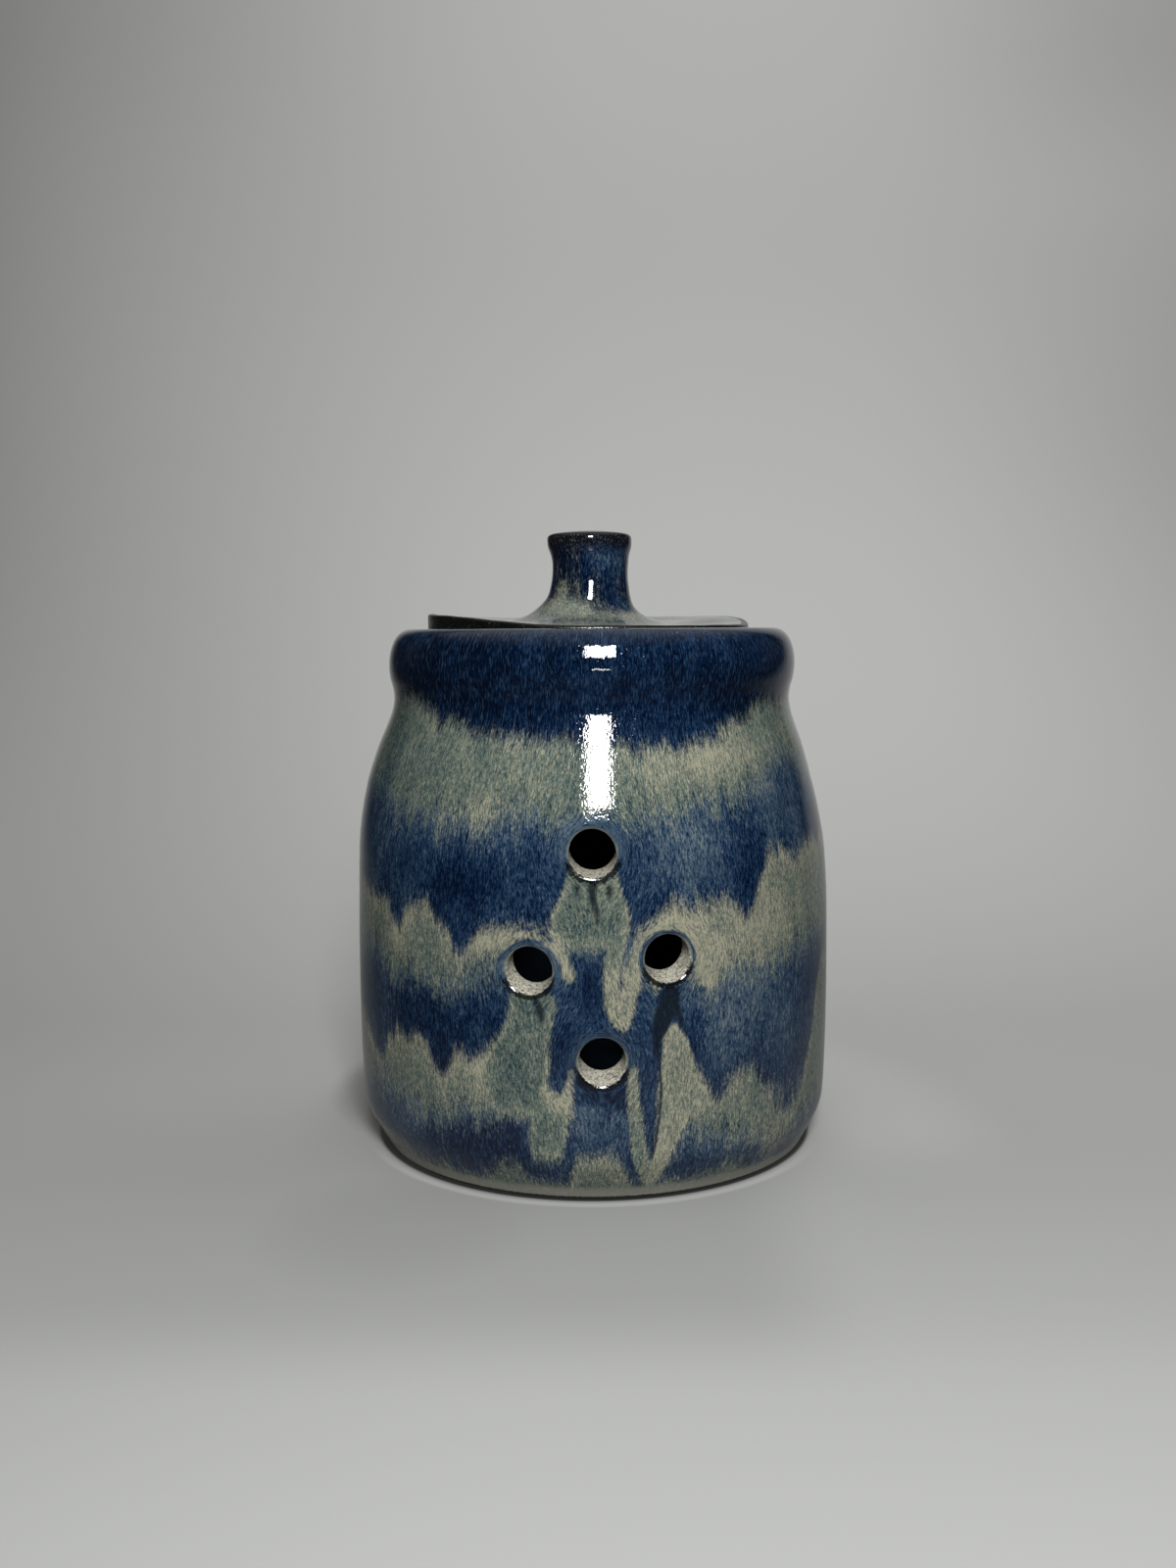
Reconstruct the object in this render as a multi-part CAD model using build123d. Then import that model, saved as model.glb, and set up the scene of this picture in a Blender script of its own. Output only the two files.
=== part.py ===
"""Garlic keeper: a wheel-thrown stoneware jar with vent holes, and a drop-in lid with a spool knob.

The jar and the lid are the only two pieces. Both are thrown, trimmed and glazed; the lid rests by its own
weight on a ledge, the gallery, inside the jar's collar. Millimetres, +Z up. The side with the vents that the
jar is looked at from faces -Y. The origin is the middle of the foot, on the surface that the jar stands on.
"""
from build123d import *
import math
import os

# Jar, outside: radii with the heights they belong to.
FOOT_INNER_RADIUS = 44.5    # inner edge of the foot ring
FOOT_RECESS = 1.6           # how far the middle of the base stands off the table
FOOT_EASE = 0.8             # the foot's outer corner is wiped round by this much
BEVEL_FOOT_RADIUS = 53.1    # the trimmed bevel: its lower and upper ends
BEVEL_TOP_RADIUS = 57.7
BEVEL_TOP_HEIGHT = 10.0
BELLY_RADIUS = 58.8
BELLY_HEIGHT = 38.0
NECK_RADIUS = 48.7
NECK_HEIGHT = 109.3
COLLAR_RADIUS = 49.8
COLLAR_HEIGHT = 116.4
RIM_HEIGHT = 126.0          # top of the jar
RIM_CREST_RADIUS = 45.8     # where the outer face rounds over into the rim

# Jar, inside.
WALL = 5.5
FLOOR_TOP = 7.0
MOUTH_RADIUS = 35.5         # bore of the gallery's ledge
LEDGE_THICKNESS = 4.2

# Gallery: the recess that the lid drops into.
SEAT_HEIGHT = 122.0
GALLERY_RADIUS = 40.6
GALLERY_LIP = 1.8           # rounding where the gallery's wall meets the rim

# Vents: a bored hole with softened edges, four in a diamond on the front and the same on the back.
VENT_RADIUS = 5.1
VENT_EDGE = 0.8             # rounding of both edges
# Each vent: azimuth in degrees towards +X, height of its centre on the outer face, and the degrees that its
# bore climbs on the way in. The lower ones were bored more steeply, because the jar stood on the bench.
FRONT_VENTS = [
    (0.3, 78.0, 11.0),
    (-13.8, 52.5, 17.0),
    (16.1, 55.0, 19.0),
    (2.0, 32.6, 22.0),
]
BACK_VENTS = [
    (180.0, 77.4, 12.0),
    (194.6, 54.2, 17.0),
    (165.4, 53.0, 18.0),
    (180.8, 31.6, 21.0),
]

# Lid. Its upper face isn't quite level: it is highest at the -X side and at the back.
LID_RADIUS = 39.7
LID_TOP = 128.0             # mean height of the upper face's edge
LID_LEAN_X = 1.45           # degrees, lifts the -X side
LID_LEAN_Y = 1.15           # degrees, lifts the back
LID_DISH = 1.0              # how far the middle of the upper face lies below its edge
LID_EDGE_EASE = 0.9         # rounding of the upper edge
LID_UNDER_EASE = 0.6        # rounding of the lower edge
KNOB_FLARE_RADIUS = 22.0    # the knob's flare, carried on down inside the plate
KNOB_WAIST_RADIUS = 8.9
KNOB_WAIST_HEIGHT = 140.0
KNOB_RIM_RADIUS = 10.1
KNOB_RIM_HEIGHT = 147.6
KNOB_SHOULDER_RADIUS = 8.6  # where the rounded edge of the knob has turned into its domed top
KNOB_SHOULDER_HEIGHT = 149.1
KNOB_TOP = 150.0

OUT = "parts"


def point(radius, height):
    return Vector(radius, 0, height)


def chain(*points):
    """Straight edges from point to point in the XZ plane."""
    return Polyline([point(*p) for p in points]).edges()


def curve(points, start, end):
    """A smooth edge through points in the XZ plane, leaving and arriving along the two directions."""
    return Spline([point(*p) for p in points], tangents=[point(*start), point(*end)]).edges()


def quarter_round(start, end, inwards):
    """A quarter-circle edge between two points; inwards says towards which of the two corners it bulges."""
    corner = (start[0], end[1]) if inwards else (end[0], start[1])
    centre = (end[0], start[1]) if inwards else (start[0], end[1])
    middle = tuple(c + (k - c) * math.sqrt(0.5) for c, k in zip(centre, corner))
    return ThreePointArc(point(*start), point(*middle), point(*end)).edges()


def turned(*runs):
    """The solid of revolution about Z whose outline is the given runs of edges, joined end to end."""
    edges = ShapeList()
    for run in runs:
        edges += run
    return revolve(make_face(edges), Axis.Z)


def belly(inset):
    """Points up the jar's side between the bevel and the neck, moved inwards by inset."""
    return [
        (BELLY_RADIUS - 0.45 - inset, 19.0),
        (BELLY_RADIUS - inset, BELLY_HEIGHT),
        (BELLY_RADIUS - 0.45 - inset, 60.0),
        (BELLY_RADIUS - 1.65 - inset, 78.0),
        (BELLY_RADIUS - 4.3 - inset, 90.0),
        (BELLY_RADIUS - 8.0 - inset, 101.2),
    ]


def jar_blank():
    """The thrown and trimmed jar before its vents are cut: foot, outside, rim, gallery, inside, floor."""
    ledge_under = SEAT_HEIGHT - LEDGE_THICKNESS
    inner_neck = NECK_RADIUS - WALL
    floor_edge = BELLY_RADIUS - WALL - 10.0
    bevel_top = (BEVEL_TOP_RADIUS, BEVEL_TOP_HEIGHT)
    lip_top = (GALLERY_RADIUS + GALLERY_LIP, RIM_HEIGHT)
    lip_foot = (GALLERY_RADIUS, RIM_HEIGHT - GALLERY_LIP)
    foot = chain(
        (0, FOOT_RECESS),
        (FOOT_INNER_RADIUS - FOOT_RECESS, FOOT_RECESS),
        (FOOT_INNER_RADIUS, 0),
        (BEVEL_FOOT_RADIUS - FOOT_EASE, 0),
    )
    foot_corner = quarter_round((BEVEL_FOOT_RADIUS - FOOT_EASE, 0), (BEVEL_FOOT_RADIUS, FOOT_EASE), False)
    bevel = chain((BEVEL_FOOT_RADIUS, FOOT_EASE), bevel_top)
    outside = [
        bevel_top,
        *belly(0.0),
        (NECK_RADIUS, NECK_HEIGHT),
        (COLLAR_RADIUS, COLLAR_HEIGHT),
        (COLLAR_RADIUS - 0.5, 121.4),
        (COLLAR_RADIUS - 1.9, 124.4),
        (RIM_CREST_RADIUS, RIM_HEIGHT),
    ]
    rim = chain((RIM_CREST_RADIUS, RIM_HEIGHT), lip_top)
    gallery_lip = quarter_round(lip_top, lip_foot, True)
    gallery = chain(lip_foot, (GALLERY_RADIUS, SEAT_HEIGHT), (MOUTH_RADIUS, SEAT_HEIGHT), (MOUTH_RADIUS, ledge_under))
    inside = [
        (MOUTH_RADIUS, ledge_under),
        (MOUTH_RADIUS + 2.6, ledge_under - 3.6),
        (inner_neck - 1.6, NECK_HEIGHT - 0.2),
        (inner_neck + 0.7, NECK_HEIGHT - 5.0),
        *reversed(belly(WALL)),
        (floor_edge + 6.4, FLOOR_TOP + 4.4),
        (floor_edge, FLOOR_TOP),
    ]
    floor = chain((floor_edge, FLOOR_TOP), (0, FLOOR_TOP), (0, FOOT_RECESS))
    return turned(
        foot,
        foot_corner,
        bevel,
        curve(outside, (0.2, 1), (-1, 0)),
        rim,
        gallery_lip,
        gallery,
        curve(inside, (0, -1), (-1, 0)),
        floor,
    )


def outer_radius(height):
    """Radius of the jar's outer face at a height on the belly, along the straight lines between its points."""
    points = [(BEVEL_TOP_RADIUS, BEVEL_TOP_HEIGHT), *belly(0.0)]
    for (r0, z0), (r1, z1) in zip(points, points[1:]):
        if z0 <= height <= z1:
            return r0 + (r1 - r0) * (height - z0) / (z1 - z0)
    raise ValueError(f"{height} is not on the belly")


def bored(body, azimuth, height, rise):
    """The jar with one vent bored through its wall and the bore's two edges rounded."""
    centre = Rot(0, 0, azimuth) * Pos(0, -outer_radius(height), height)
    bore = centre * Rot(-90 + rise, 0, 0) * Cylinder(VENT_RADIUS, 4 * WALL)
    cut = body - bore
    middle = centre.position
    circumference = 2 * math.pi * VENT_RADIUS
    edges = cut.edges().filter_by(
        lambda e: abs(e.length - circumference) < 2.0 and (e.center() - middle).length < 2 * WALL
    )
    return fillet(edges, VENT_EDGE)


def jar():
    body = jar_blank()
    for azimuth, height, rise in FRONT_VENTS + BACK_VENTS:
        body = bored(body, azimuth, height, rise)
    return body


def lid():
    """The lid's plate, its leaning upper face, and the knob that flares out of it."""
    tall = LID_TOP + 4.0
    under_ease = quarter_round(
        (LID_RADIUS - LID_UNDER_EASE, SEAT_HEIGHT), (LID_RADIUS, SEAT_HEIGHT + LID_UNDER_EASE), False
    )
    plate = turned(
        chain((0, SEAT_HEIGHT), (LID_RADIUS - LID_UNDER_EASE, SEAT_HEIGHT)),
        under_ease,
        chain((LID_RADIUS, SEAT_HEIGHT + LID_UNDER_EASE), (LID_RADIUS, tall), (0, tall), (0, SEAT_HEIGHT)),
    )
    reach = LID_RADIUS + 6.0
    above = turned(
        curve([(0, -LID_DISH), (LID_RADIUS * 0.55, -LID_DISH * 0.85), (reach, LID_DISH * 0.35)], (1, 0), (1, 0.05)),
        chain((reach, LID_DISH * 0.35), (reach, 10.0), (0, 10.0), (0, -LID_DISH)),
    )
    plate -= Pos(0, 0, LID_TOP) * Rot(LID_LEAN_Y, LID_LEAN_X, 0) * above
    upper_edge = plate.edges().filter_by(
        lambda e: e.center().Z > SEAT_HEIGHT + 2.0 and e.length > math.pi * LID_RADIUS
    )
    plate = fillet(upper_edge, LID_EDGE_EASE)
    knob_base = SEAT_HEIGHT + 1.5
    flare_foot = LID_TOP - LID_DISH - 1.6
    knob_side = [
        (KNOB_FLARE_RADIUS, flare_foot),
        (17.6, 127.75),
        (12.9, 130.4),
        (10.4, 133.5),
        (9.25, 137.0),
        (KNOB_WAIST_RADIUS, KNOB_WAIST_HEIGHT),
        (9.3, 143.6),
        (KNOB_RIM_RADIUS, KNOB_RIM_HEIGHT),
        (KNOB_SHOULDER_RADIUS, KNOB_SHOULDER_HEIGHT),
    ]
    knob = turned(
        chain((0, knob_base), (KNOB_FLARE_RADIUS, knob_base), (KNOB_FLARE_RADIUS, flare_foot)),
        curve(knob_side, (-1, 0.4), (-1, 0.3)),
        curve([(KNOB_SHOULDER_RADIUS, KNOB_SHOULDER_HEIGHT), (0, KNOB_TOP)], (-1, 0.3), (-1, 0)),
        chain((0, KNOB_TOP), (0, knob_base)),
    )
    # Both shapes have their seam on +X. A quarter turn keeps the two seams apart, so that they fuse into one solid.
    return plate + Rot(0, 0, 90) * knob


def main():
    os.makedirs(OUT, exist_ok=True)
    for name, solid in (("jar", jar()), ("lid", lid())):
        print(name, round(solid.volume), "mm3,", len(solid.solids()), "solid,", solid.bounding_box())
        export_step(solid, f"{OUT}/{name}.step")


main()
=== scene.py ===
"""Garlic keeper: a thrown stoneware jar with vent holes under blue and sage glazes, and its drop-in lid."""

import bmesh
import bpy
import math
import numpy as np
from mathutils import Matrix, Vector


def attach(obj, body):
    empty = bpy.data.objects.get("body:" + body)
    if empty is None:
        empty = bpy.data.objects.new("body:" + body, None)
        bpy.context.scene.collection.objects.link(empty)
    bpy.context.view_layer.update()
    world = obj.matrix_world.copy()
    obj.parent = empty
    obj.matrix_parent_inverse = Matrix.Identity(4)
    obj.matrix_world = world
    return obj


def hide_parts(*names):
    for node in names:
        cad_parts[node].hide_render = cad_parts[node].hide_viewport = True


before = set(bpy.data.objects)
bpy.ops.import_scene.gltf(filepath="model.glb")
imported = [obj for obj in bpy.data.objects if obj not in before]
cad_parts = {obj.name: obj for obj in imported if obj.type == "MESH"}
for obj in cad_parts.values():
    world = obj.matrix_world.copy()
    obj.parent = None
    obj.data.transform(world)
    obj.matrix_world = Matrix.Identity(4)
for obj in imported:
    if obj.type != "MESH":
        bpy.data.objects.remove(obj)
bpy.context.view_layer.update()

# --------------------------------------------------------------------
# The jar. Stoneware thrown on the wheel in one piece: a trimmed foot with a bevel above it, a full belly, a
# rolled collar, and inside the collar the gallery that carries the lid. The vents were bored through the
# leather-hard wall and their edges wiped round. It is one closed skin, in millimetres until the mesh is made.

# The wall's section as (radius, height): up the outside, over the rim into the gallery, down the inside and
# along the floor. The underside runs outwards.
OUTSIDE = [
    (53.4, 0.9), (54.9, 3.6), (56.4, 6.5), (57.4, 8.7), (57.9, 10.7), (58.2, 14), (58.45, 20), (58.65, 28),
    (58.74, 38), (58.7, 46), (58.64, 54), (58.5, 61), (58.2, 69), (57.75, 75.3), (56.88, 81.1),
    (55.68, 86.9), (54.12, 92.7), (52.35, 98.2), (50.6, 102.6), (49.4, 106.1), (48.92, 109), (49.15, 111.4),
    (49.8, 113.8), (50.15, 116.4), (50.05, 119.2), (49.5, 121.7), (48.55, 123.8), (47.25, 125.2),
    (45.85, 125.9), (44.5, 126),
]
RIM_INSIDE = [
    (43.4, 125.85), (42.2, 125.35), (41.3, 124.5), (40.75, 123.5), (40.6, 122.6), (40.45, 122.1),
    (39.9, 121.95), (37.5, 121.95), (36.3, 121.9), (35.75, 121.6), (35.55, 121),
]
INSIDE = [
    (35.5, 120.2), (35.5, 118.6), (35.9, 117.2), (37.6, 114.6), (40.4, 110.8), (42.7, 107.2), (44.2, 104.3),
    (46.2, 99), (48.2, 92.7), (49.8, 86.9), (51, 81.1), (52, 75), (52.5, 69), (52.8, 61), (53, 54),
    (53.1, 46), (53.1, 38), (53, 28), (52.6, 19), (51.6, 14.2), (49.6, 10.9), (46.6, 8.4), (43, 7.2),
]
FLOOR = [(38, 7.05), (30, 7), (20, 6.95), (10, 7.05), (4, 7.3)]
UNDERSIDE = [
    (4, 1.6), (12, 1.6), (22, 1.6), (32, 1.6), (42.4, 1.6), (43.1, 1.45), (43.9, 0.7), (44.5, 0.12),
    (45.1, 0), (48.5, 0), (52.2, 0), (52.8, 0.08), (53.2, 0.38),
]
WALL, RECESS, FLOOR_MIDDLE = 5.5, 1.6, 7.4
# Each vent: degrees to the right of the front, height of its middle, degrees its bore climbs inwards.
VENTS = [
    (0.25, 78, 11), (-13.9, 52.4, 17), (16, 54.8, 19), (1.7, 32.5, 22), (180, 77.4, 12), (-165.4, 54.2, 17),
    (165.4, 53, 18), (-179.2, 31.6, 21),
]
BELLY_RADIUS = 58.0
MM_PER_DEGREE = BELLY_RADIUS * math.pi / 180
FAR = 99.0    # farther than any two places on the jar that are compared


def fair(points, step, fine_step=0.02):
    """A smooth line through (radius, height) points, with a point about every step millimetres."""
    p = np.array(points, float)
    t = np.concatenate([[0], np.cumsum(np.linalg.norm(np.diff(p, axis=0), axis=1))])
    slope = np.gradient(p, t, axis=0)
    fine = np.linspace(0, t[-1], int(t[-1] / fine_step))
    k = np.clip(np.searchsorted(t, fine, side="right") - 1, 0, len(t) - 2)
    h = (t[k + 1] - t[k])[:, None]
    s = (fine - t[k])[:, None] / h
    line = (
        (2 * s**3 - 3 * s**2 + 1) * p[k]
        + (s**3 - 2 * s**2 + s) * h * slope[k]
        + (3 * s**2 - 2 * s**3) * p[k + 1]
        + (s**3 - s**2) * h * slope[k + 1]
    )
    run = np.concatenate([[0], np.cumsum(np.linalg.norm(np.diff(line, axis=0), axis=1))])
    at = np.linspace(0, run[-1], max(2, round(run[-1] / step) + 1))
    return np.stack([np.interp(at, run, line[:, 0]), np.interp(at, run, line[:, 1])], axis=1)


def wrapped(degrees):
    """An angle or a difference of angles brought to within half a turn of zero."""
    return (np.asarray(degrees) + 180) % 360 - 180


def soft(value, low, high):
    """0 below low, 1 above high, and an even rise between them."""
    t = np.clip((value - low) / (high - low), 0, 1)
    return t * t * (3 - 2 * t)


outer = fair(OUTSIDE, 0.95)
inner = fair(INSIDE, 1)
rows = np.concatenate([UNDERSIDE, outer, RIM_INSIDE, inner, FLOOR])
outer_first = len(UNDERSIDE)
inner_first = outer_first + len(outer) + len(RIM_INSIDE)
# Columns stand closer together at the front and the back, where the vents are.
COLUMN_RUNS = [(-180, -154.8, 28), (-154.8, -30, 104), (-30, 30, 64), (30, 154.8, 104), (154.8, 180, 28)]
columns = np.concatenate([np.linspace(*run, endpoint=False) for run in COLUMN_RUNS])
n_rows, n_columns = len(rows), len(columns)
azimuth = np.tile(columns, (n_rows, 1))
radius = np.tile(rows[:, :1], (1, n_columns))
height = np.tile(rows[:, 1:], (1, n_columns))
open_cell = np.zeros((n_rows - 1, n_columns), bool)

# Each vent: the squares of the net over it are taken out, and the net around it is drawn into a round hole.
# The hole and the eased net round it reach so many cells, of about a millimetre each, from its middle.
HOLE_CELLS, EASE_CELLS = 6, 10
LIP_RADIUS, INNER_LIP_RADIUS = 5.75, 5.5


def round_the_square(di, dj):
    """The direction, in radians, of a place on a square ring, spread evenly round a circle."""
    c = max(abs(di), abs(dj))
    if di == c:
        return dj / c * math.pi / 4
    if dj == c:
        return math.pi / 2 - di / c * math.pi / 4
    if di == -c:
        return math.pi - dj / c * math.pi / 4
    return -math.pi / 2 + di / c * math.pi / 4


cells = range(-HOLE_CELLS, HOLE_CELLS + 1)
ring = [(i, j) for i in cells for j in cells if max(abs(i), abs(j)) == HOLE_CELLS]
ring.sort(key=lambda cell: round_the_square(*cell) % (2 * math.pi))
vent_loops = []
for vent_azimuth, vent_height, vent_rise in VENTS:
    loops = []
    climb = WALL * math.tan(math.radians(vent_rise))
    for first, line, up, middle, lip_radius in (
        (outer_first, outer, 1, vent_height, LIP_RADIUS),
        (inner_first, inner, -1, vent_height + climb, INNER_LIP_RADIUS),
    ):
        j0 = first + int(np.argmin(abs(line[:, 1] - middle)))
        i0 = int(np.argmin(abs(wrapped(columns - vent_azimuth))))
        per_degree = MM_PER_DEGREE * line[j0 - first, 0] / BELLY_RADIUS
        heights, radii = (line[:, 1], line[:, 0]) if up > 0 else (line[::-1, 1], line[::-1, 0])
        for dj in range(-EASE_CELLS, EASE_CELLS + 1):
            for di in range(-EASE_CELLS, EASE_CELLS + 1):
                c = max(abs(di), abs(dj))
                if c < HOLE_CELLS:
                    continue
                j, i = j0 + up * dj, (i0 + di) % n_columns
                turn = round_the_square(di, dj)
                reach = lip_radius + (c - HOLE_CELLS)
                t = (c - HOLE_CELLS) / (EASE_CELLS - HOLE_CELLS)
                near = (vent_azimuth + reach * math.cos(turn) / per_degree, middle + reach * math.sin(turn))
                azimuth[j, i] = wrapped(near[0] + t * wrapped(columns[i] - near[0]))
                height[j, i] = (1 - t) * near[1] + t * rows[j, 1]
                radius[j, i] = np.interp(height[j, i], heights, radii)
        low = j0 - HOLE_CELLS
        for j in range(low, low + 2 * HOLE_CELLS):
            for di in range(-HOLE_CELLS, HOLE_CELLS):
                open_cell[j, (i0 + di) % n_columns] = True
        loops.append([(j0 + up * dj) * n_columns + (i0 + di) % n_columns for di, dj in ring])
    vent_loops.append(loops)

# The hand shows a little: the jar leans by fractions of a millimetre, and throwing rings run round it.
LEAN_HEIGHTS = [0, 12, 62, 72, 80, 90, 98, 106, 116, 126]
LEAN = [0.3, 0, 0, -0.2, -0.5, -0.7, -0.45, -0.15, 0, 0.1]
on_outside = np.zeros_like(radius)
on_outside[outer_first:outer_first + len(outer)] = 1
turn = np.radians(azimuth)
rings = 0.012 * (1 + np.sin(height * 1.55 + np.sin(turn) + 0.7 * np.sin(height * 0.23)))
radius -= on_outside * rings * soft(height, 10, 16) * (1 - soft(height, 96, 104))
around_vent = np.full(radius.shape, FAR)
for vent_azimuth, vent_height, _ in VENTS:
    across = wrapped(azimuth - vent_azimuth) * MM_PER_DEGREE
    around_vent = np.minimum(around_vent, np.hypot(across, height - vent_height))
radius += on_outside * 0.04 * np.exp(-((around_vent - 7.2) / 0.9) ** 2)
lean = np.interp(height, LEAN_HEIGHTS, LEAN)
points = np.stack([radius * np.sin(turn) + lean, -radius * np.cos(turn), height], axis=-1).reshape(-1, 3)
azimuth, height = azimuth.ravel(), height.ravel()
# The kinds of skin: 0 underside, 1 outside and bores, 2 rim and gallery, 3 inside.
kind_rows = [len(UNDERSIDE), len(outer), len(RIM_INSIDE), len(inner) + len(FLOOR)]
skin = np.repeat([0, 1, 2, 3], np.array(kind_rows) * n_columns)


def net(is_open):
    """The faces of a net of points that closes round the axis, without its open cells."""
    n = is_open.shape[1]
    return [
        (j * n + i, j * n + (i + 1) % n, (j + 1) * n + (i + 1) % n, (j + 1) * n + i)
        for (j, i), gone in np.ndenumerate(is_open) if not gone
    ]


faces = net(open_cell)
extra = []    # the points beyond the net: x, y, z, azimuth, depth in a bore
for z, row in ((RECESS, 0), (FLOOR_MIDDLE, n_rows - 1)):
    pole = len(points) + len(extra)
    extra.append((0, 0, z, 0, 0))
    faces += [(pole, row * n_columns + (i + 1) % n_columns, row * n_columns + i) for i in range(n_columns)]

# The bores: rings of points round the wiped outer edge, along the bore and round the inner edge. LIP is
# (radius, share of the wiped flat's slope, own depth); INNER_LIP is (radius, depth from the inside).
LIP = [
    (5.69, 0, 0.015), (5.62, 0, 0.04), (5.54, 0.08, 0.04), (5.44, 0.18, 0.04), (5.34, 0.28, 0.04),
    (5.26, 0.36, 0.04), (5.18, 0.36, 0.22), (5.12, 0.36, 0.5), (5.1, 0.36, 1.1),
]
INNER_LIP = [(5.1, 0.5), (5.17, 0.22), (5.3, 0.07)]
for (loop_out, loop_in), (_, _, vent_rise) in zip(vent_loops, VENTS):
    outer_lip, inner_lip = points[loop_out], points[loop_in]
    # the wiped edge has a flat whose lower side looks up at the light
    flat = math.tan(math.radians(16 + 1.5 * vent_rise))
    axis = inner_lip.mean(axis=0) - outer_lip.mean(axis=0)
    axis /= np.linalg.norm(axis)

    def drawn_in(loop, share, along):
        """A loop drawn together to a share of its size and moved along the bore."""
        spread = loop - loop.mean(axis=0)
        spread -= np.outer(spread @ axis, axis)
        return loop - (1 - share) * spread + along * axis

    circles = [(drawn_in(outer_lip, r / LIP_RADIUS, d + flat * f), d + flat * f) for r, f, d in LIP]
    inward = [(drawn_in(inner_lip, r / INNER_LIP_RADIUS, -d), WALL - d) for r, d in INNER_LIP]
    (last, last_depth), (first, first_depth) = circles[-1], inward[0]
    for k in (0.25, 0.5, 0.75):
        circles.append((last + (first - last) * k, last_depth + (first_depth - last_depth) * k))
    before = loop_out
    for circle, depth in circles + inward:
        start = len(points) + len(extra)
        now = list(range(start, start + len(circle)))
        extra += [(*p, math.degrees(math.atan2(p[0], -p[1])), depth) for p in circle]
        faces += [(before[k - 1], before[k], now[k], now[k - 1]) for k in range(len(now))]
        before = now
    faces += [(before[k - 1], before[k], loop_in[k], loop_in[k - 1]) for k in range(len(before))]
extra = np.array(extra)
points = np.concatenate([points, extra[:, :3]])
azimuth = np.concatenate([azimuth, extra[:, 3]])
height = np.concatenate([height, extra[:, 2]])
depth = np.concatenate([np.zeros(len(skin)), extra[:, 4]])
skin = np.concatenate([skin, np.ones(len(extra))])


def placed(name, data):
    """A new object that stands in the scene."""
    thing = bpy.data.objects.new(name, data)
    bpy.context.scene.collection.objects.link(thing)
    return thing


def closed_mesh(name, points, faces, marks):
    """A smooth-shaded mesh in metres, without unused points, that carries the marks as point attributes."""
    used = np.unique([p for f in faces for p in f])
    new = np.full(len(points), -1)
    new[used] = np.arange(len(used))
    mesh = bpy.data.meshes.new(name)
    mesh.from_pydata((points[used] * 0.001).tolist(), [], [tuple(int(new[p]) for p in f) for f in faces])
    work = bmesh.new()
    work.from_mesh(mesh)
    bmesh.ops.recalc_face_normals(work, faces=work.faces)
    if work.calc_volume(signed=True) < 0:
        bmesh.ops.reverse_faces(work, faces=work.faces)
    work.to_mesh(mesh)
    work.free()
    mesh.shade_smooth()
    for key, values in marks.items():
        kind, field = ("FLOAT_VECTOR", "vector") if values.ndim == 2 else ("FLOAT", "value")
        mark = mesh.attributes.new(key, kind, "POINT")
        mark.data.foreach_set(field, values[used].astype(np.float32).ravel())
    return placed(name, mesh)


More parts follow.
